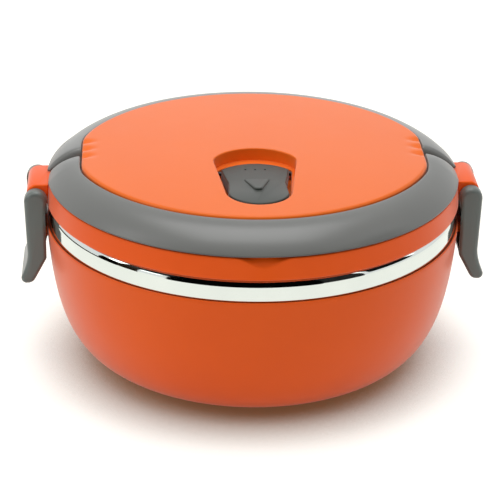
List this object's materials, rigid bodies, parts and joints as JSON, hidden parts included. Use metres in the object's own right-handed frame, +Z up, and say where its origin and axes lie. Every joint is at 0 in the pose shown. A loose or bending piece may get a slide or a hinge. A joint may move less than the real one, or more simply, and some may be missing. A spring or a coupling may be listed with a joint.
{
  "type": "insulated lunch box",
  "caption": "Round insulated lunch box: plastic bowl with a steel liner, clip-down sealing lid, swing-up carry handle and a steam vent flap.",
  "frame": {"origin": "centre of the underside, on the plane that the foot ring stands on", "axes": "+X across the two clips, -Y to the front where the folded handle and the finger notch are, +Z up"},
  "size_m": [0.1742, 0.1552, 0.0821],
  "materials": {
    "bowl_plastic": "satin orange polypropylene",
    "lid_plastic": "satin orange polypropylene",
    "inner_plastic": "satin orange polypropylene",
    "handle_plastic": "satin mid grey",
    "clip_plastic": "satin dark grey",
    "flap_plastic": "satin dark grey",
    "silicone": "translucent white silicone",
    "polished_steel": "polished stainless steel",
    "pin_steel": "drawn steel wire"
  },
  "bodies": {
    "base": {"outer_bowl": "bowl_plastic", "steel_liner": "polished_steel"},
    "lid": {"lid_shell": "lid_plastic", "top_panel": "lid_plastic", "inner_lid": "inner_plastic", "lid_gasket": "silicone", "rear_trim": "handle_plastic", "clip_pin_left": "pin_steel", "clip_pin_right": "pin_steel", "vent_pin": "pin_steel"},
    "handle": {"carry_handle": "handle_plastic", "handle_pin_left": "pin_steel", "handle_pin_right": "pin_steel"},
    "vent": {"vent_flap": "flap_plastic", "vent_seal": "silicone"},
    "clip_left": {"clip_left": "clip_plastic"},
    "clip_right": {"clip_right": "clip_plastic"}
  },
  "joints": [
    {"name": "lid_lift", "type": "slide", "parent": "base", "child": "lid", "axis": [0, 0, 1], "range_m": [0, 0.09]},
    {"name": "handle_swing", "type": "hinge", "parent": "lid", "child": "handle", "pos_m": [0, -0.002, 0.0762], "axis": [-1, 0, 0], "range_deg": [0, 105]},
    {"name": "vent_open", "type": "hinge", "parent": "lid", "child": "vent", "pos_m": [0, -0.0105, 0.076], "axis": [-1, 0, 0], "range_deg": [0, 70]},
    {"name": "clip_left_swing", "type": "hinge", "parent": "lid", "child": "clip_left", "pos_m": [-0.081, 0, 0.0664], "axis": [0, 1, 0], "range_deg": [-3.5, 100]},
    {"name": "clip_right_swing", "type": "hinge", "parent": "lid", "child": "clip_right", "pos_m": [0.081, 0, 0.0664], "axis": [0, -1, 0], "range_deg": [-3.5, 100]}
  ]
}
